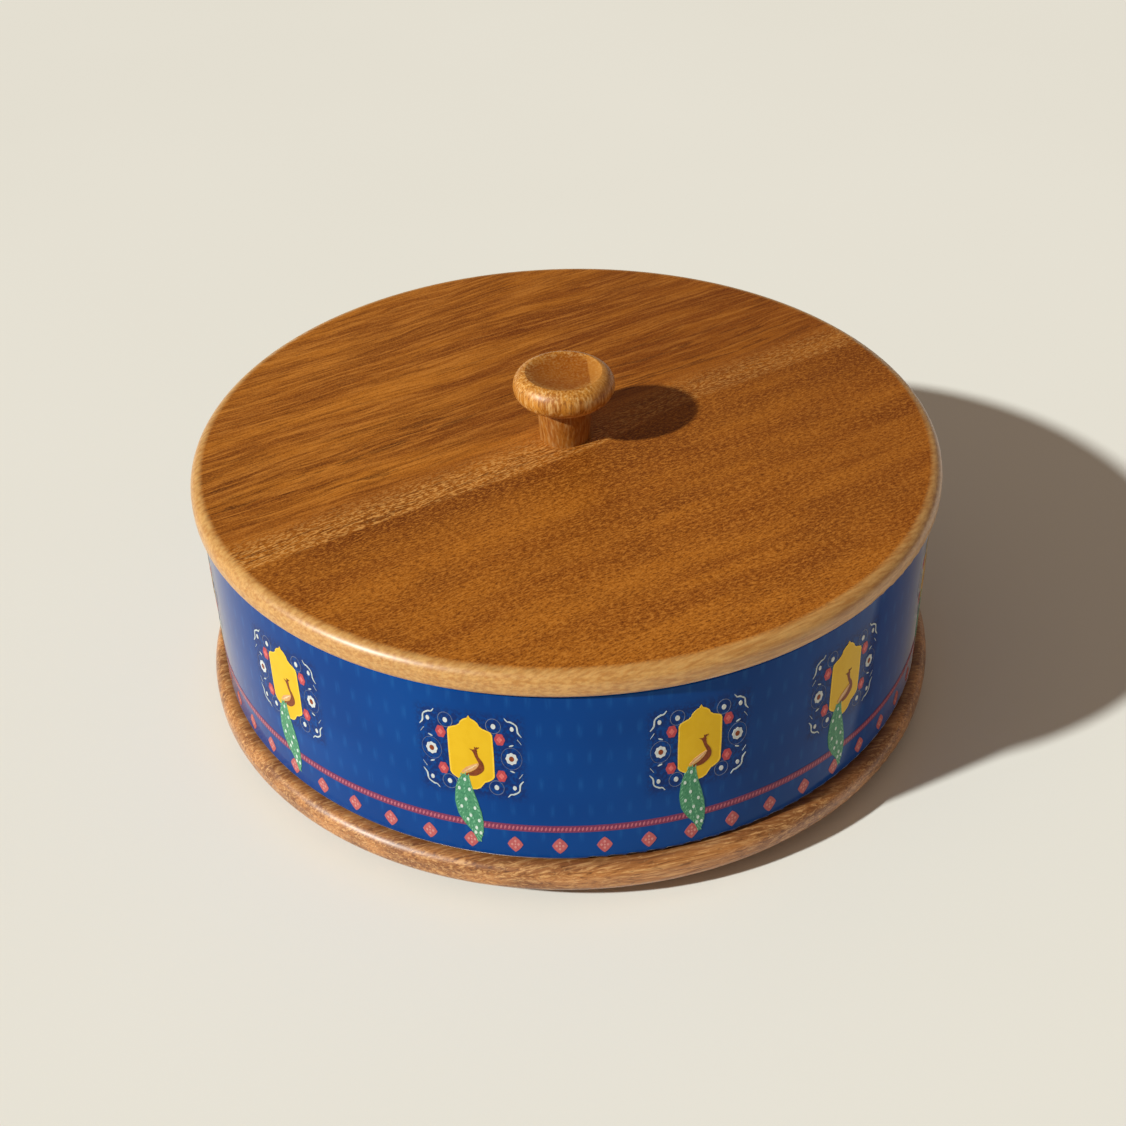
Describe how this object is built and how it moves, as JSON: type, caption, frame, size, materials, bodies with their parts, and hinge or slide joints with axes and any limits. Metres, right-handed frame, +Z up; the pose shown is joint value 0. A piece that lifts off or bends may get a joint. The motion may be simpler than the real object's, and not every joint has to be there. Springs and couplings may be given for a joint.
{
  "type": "round spice box",
  "caption": "Round spice box: printed enamel drum on a wooden base, a lift-off wooden lid with a turned knob, steel bowls and a spoon inside.",
  "frame": {"origin": "centre of the plane that the four feet stand on, under the drum's axis", "axes": "+Z up along the axis of the drum and lid; -Y is the side that faces the viewer; +X to the viewer's right, towards bowl_1"},
  "size_m": [0.245, 0.245, 0.1105],
  "materials": {
    "lid_wood": "stained and lacquered mango wood, satin",
    "base_wood": "stained and lacquered mango wood, satin",
    "knob_wood": "turned and lacquered mango wood, satin",
    "plug_wood": "bare sanded wood",
    "blue_enamel": "glossy enamel",
    "print_yellow": "screen-printed ink under clear gloss",
    "print_red": "screen-printed ink under clear gloss",
    "print_green": "screen-printed ink under clear gloss",
    "print_white": "screen-printed ink under clear gloss",
    "print_brown": "screen-printed ink under clear gloss",
    "print_navy": "screen-printed ink under clear gloss",
    "bowl_steel": "polished stainless steel",
    "spoon_steel": "polished stainless steel",
    "screw_steel": "zinc-plated steel",
    "foot_rubber": "frosted clear rubber"
  },
  "bodies": {
    "box": {"base_disc": "base_wood", "foot_1": "foot_rubber", "foot_2": "foot_rubber", "foot_3": "foot_rubber", "foot_4": "foot_rubber", "drum_pan": "blue_enamel", "drum_screws": "screw_steel"},
    "lid": {"lid_disc": "lid_wood", "lid_plug": "plug_wood", "plug_screws": "screw_steel", "knob": "knob_wood", "knob_screw": "screw_steel", "knob_washer": "screw_steel"},
    "bowl_centre": {"bowl_centre": "bowl_steel"},
    "bowl_1": {"bowl_1": "bowl_steel"},
    "bowl_2": {"bowl_2": "bowl_steel"},
    "bowl_3": {"bowl_3": "bowl_steel"},
    "bowl_4": {"bowl_4": "bowl_steel"},
    "bowl_5": {"bowl_5": "bowl_steel"},
    "bowl_6": {"bowl_6": "bowl_steel"},
    "spoon": {"spoon": "spoon_steel"}
  },
  "joints": [
    {"name": "lid_lift", "type": "slide", "parent": "box", "child": "lid", "axis": [0, 0, 1], "range_m": [0, 0.16]},
    {"name": "bowl_centre_lift", "type": "slide", "parent": "box", "child": "bowl_centre", "axis": [0, 0, 1], "range_m": [0, 0.072]},
    {"name": "bowl_1_lift", "type": "slide", "parent": "box", "child": "bowl_1", "axis": [0, 0, 1], "range_m": [0, 0.072]},
    {"name": "bowl_2_lift", "type": "slide", "parent": "box", "child": "bowl_2", "axis": [0, 0, 1], "range_m": [0, 0.072]},
    {"name": "bowl_3_lift", "type": "slide", "parent": "box", "child": "bowl_3", "axis": [0, 0, 1], "range_m": [0, 0.072]},
    {"name": "bowl_4_lift", "type": "slide", "parent": "box", "child": "bowl_4", "axis": [0, 0, 1], "range_m": [0, 0.072]},
    {"name": "bowl_5_lift", "type": "slide", "parent": "box", "child": "bowl_5", "axis": [0, 0, 1], "range_m": [0, 0.072]},
    {"name": "bowl_6_lift", "type": "slide", "parent": "box", "child": "bowl_6", "axis": [0, 0, 1], "range_m": [0, 0.072]},
    {"name": "spoon_lift", "type": "slide", "parent": "box", "child": "spoon", "axis": [0, 0, 1], "range_m": [0, 0.104]}
  ],
  "couplings": [
    {"joint": "bowl_centre_lift", "follows": "lid_lift", "ratio": 0.45},
    {"joint": "bowl_1_lift", "follows": "lid_lift", "ratio": 0.45},
    {"joint": "bowl_2_lift", "follows": "lid_lift", "ratio": 0.45},
    {"joint": "bowl_3_lift", "follows": "lid_lift", "ratio": 0.45},
    {"joint": "bowl_4_lift", "follows": "lid_lift", "ratio": 0.45},
    {"joint": "bowl_5_lift", "follows": "lid_lift", "ratio": 0.45},
    {"joint": "bowl_6_lift", "follows": "lid_lift", "ratio": 0.45},
    {"joint": "spoon_lift", "follows": "lid_lift", "ratio": 0.65}
  ]
}
